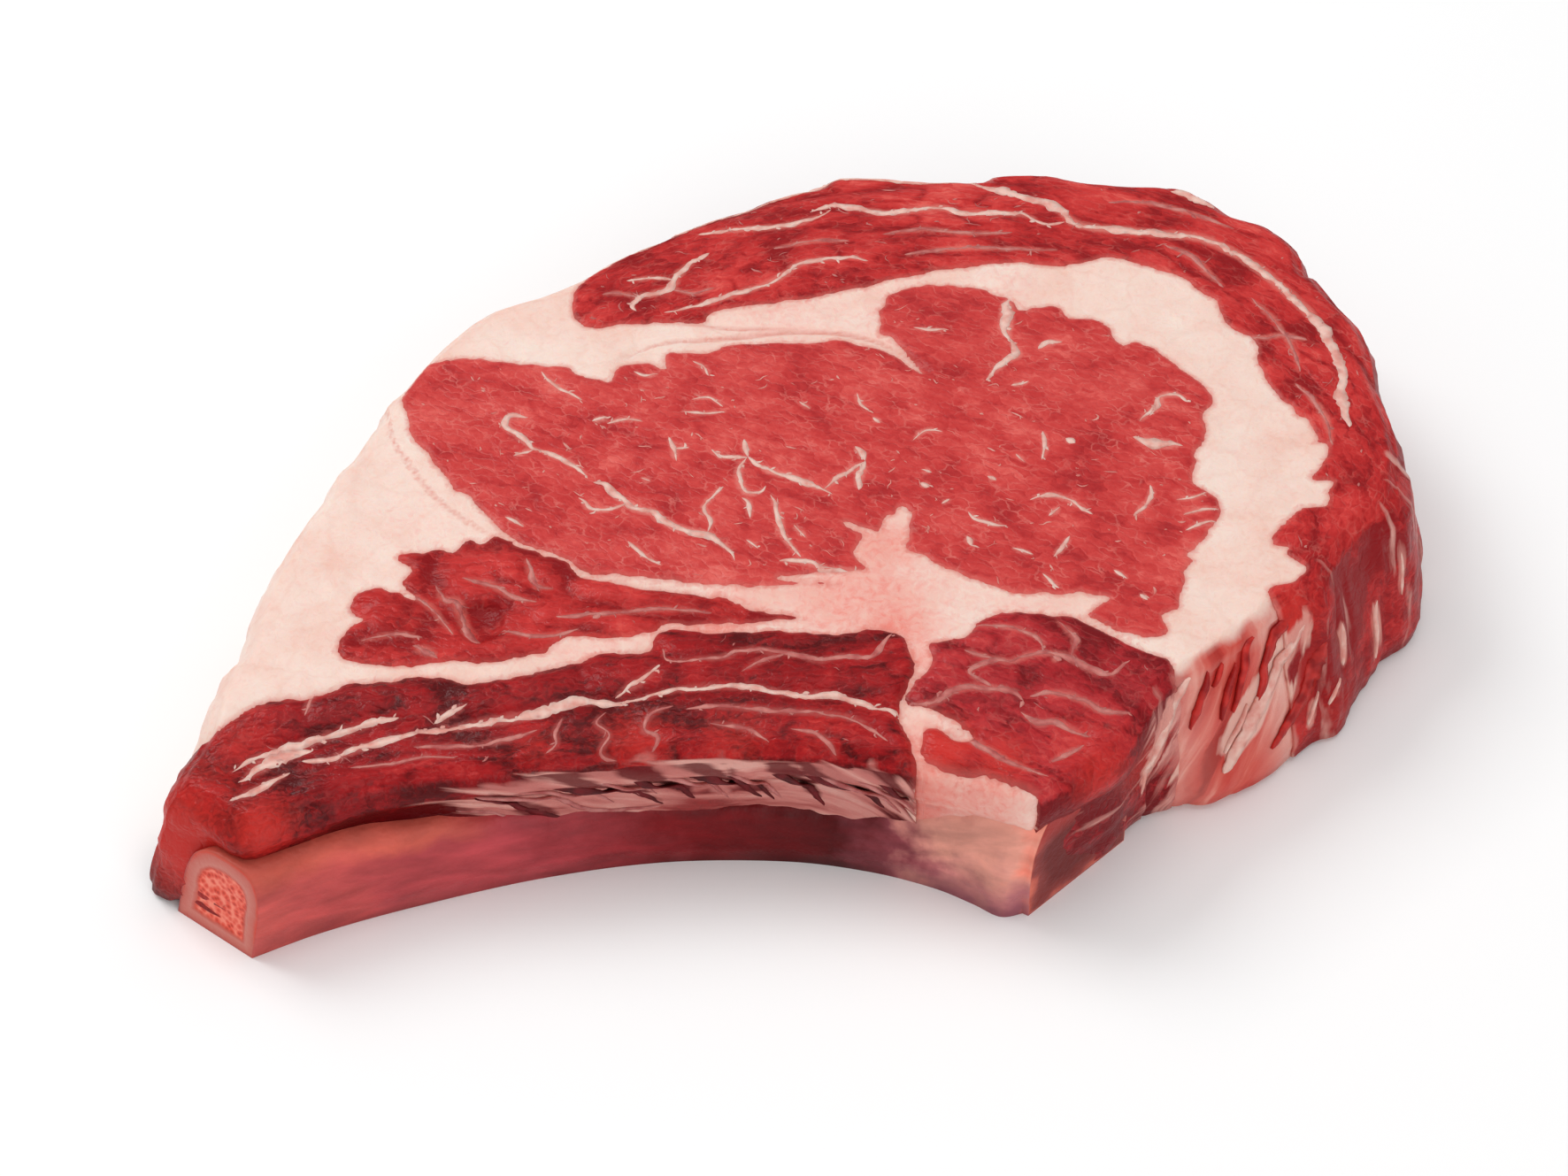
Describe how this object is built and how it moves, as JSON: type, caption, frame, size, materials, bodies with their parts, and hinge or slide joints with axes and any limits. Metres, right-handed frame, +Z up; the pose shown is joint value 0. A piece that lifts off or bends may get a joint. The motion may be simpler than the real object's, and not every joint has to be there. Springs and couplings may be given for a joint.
{
  "type": "raw bone-in beef rib steak",
  "caption": "Thick raw beef rib steak lying flat, with its eye muscle, fat cap and curved rib bone along one edge.",
  "frame": {"origin": "middle of the footprint, on the flat underside the steak lies on", "axes": "+X along the steak towards the fat cap side, +Y away from the rib bone, +Z up through the thickness"},
  "size_m": [0.2182, 0.1628, 0.0328],
  "materials": {
    "meat": "moist raw muscle with pale fat seams and fine marbling, satin to glossy",
    "bone": "fresh bone under a thin moist skin, with a pale dense ring and red spongy marrow at the sawn ends"
  },
  "bodies": {
    "root": {"meat": "meat", "rib_bone": "bone"}
  },
  "joints": []
}
